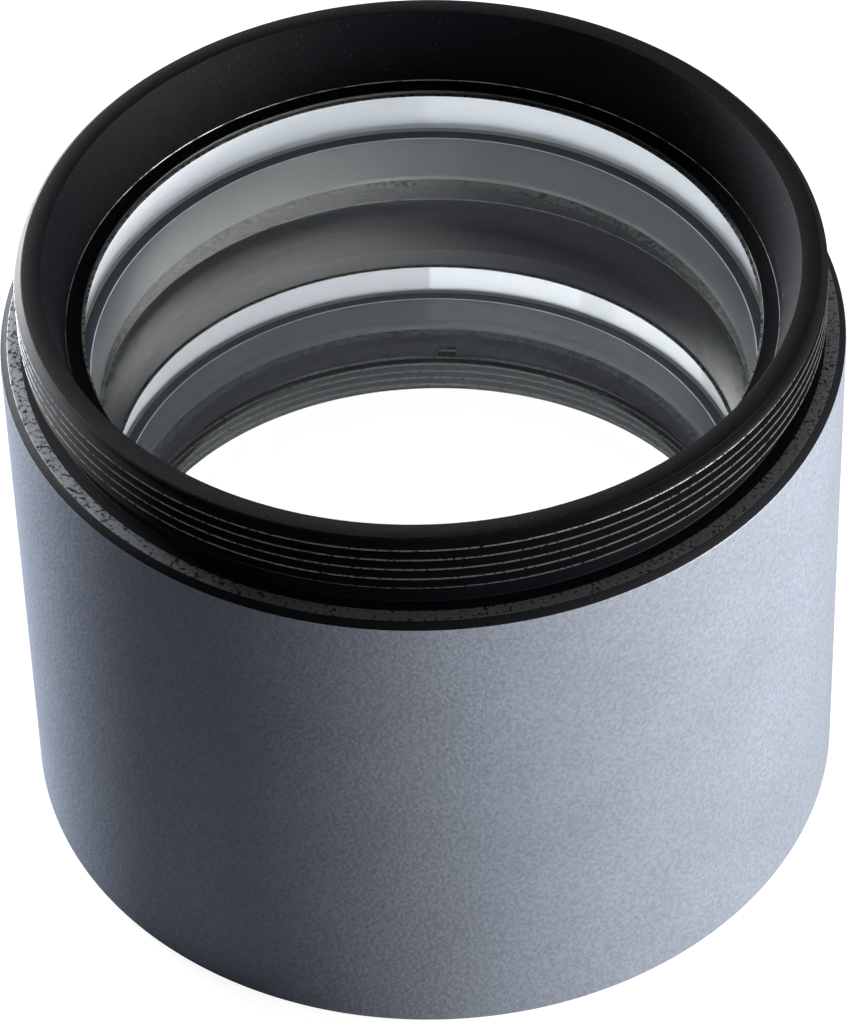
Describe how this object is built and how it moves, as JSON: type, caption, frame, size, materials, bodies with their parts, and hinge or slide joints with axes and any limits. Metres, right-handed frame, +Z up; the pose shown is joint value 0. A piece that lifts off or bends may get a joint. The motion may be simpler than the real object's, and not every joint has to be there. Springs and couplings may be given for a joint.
{
  "type": "microscope objective",
  "caption": "Short round barrel with a threaded neck and large see-through lenses that screws under a stereo microscope to widen its view.",
  "frame": {"origin": "centre of the front rim, on which the objective stands", "axes": "+Z up the optical axis, towards the threaded neck; +Y towards the spanner notch of the retaining ring, within a few degrees"},
  "size_m": [0.0504, 0.0504, 0.04],
  "materials": {
    "barrel": "satin",
    "black_anodised": "satin",
    "crown_glass": "polished",
    "flint_glass": "polished"
  },
  "bodies": {
    "root": {"barrel": "barrel", "upper_lens": "crown_glass", "upper_spacer_ring": "black_anodised", "lower_spacer_ring": "black_anodised", "lower_lens": "flint_glass", "slip_ring": "black_anodised", "retaining_ring": "black_anodised"}
  },
  "joints": []
}
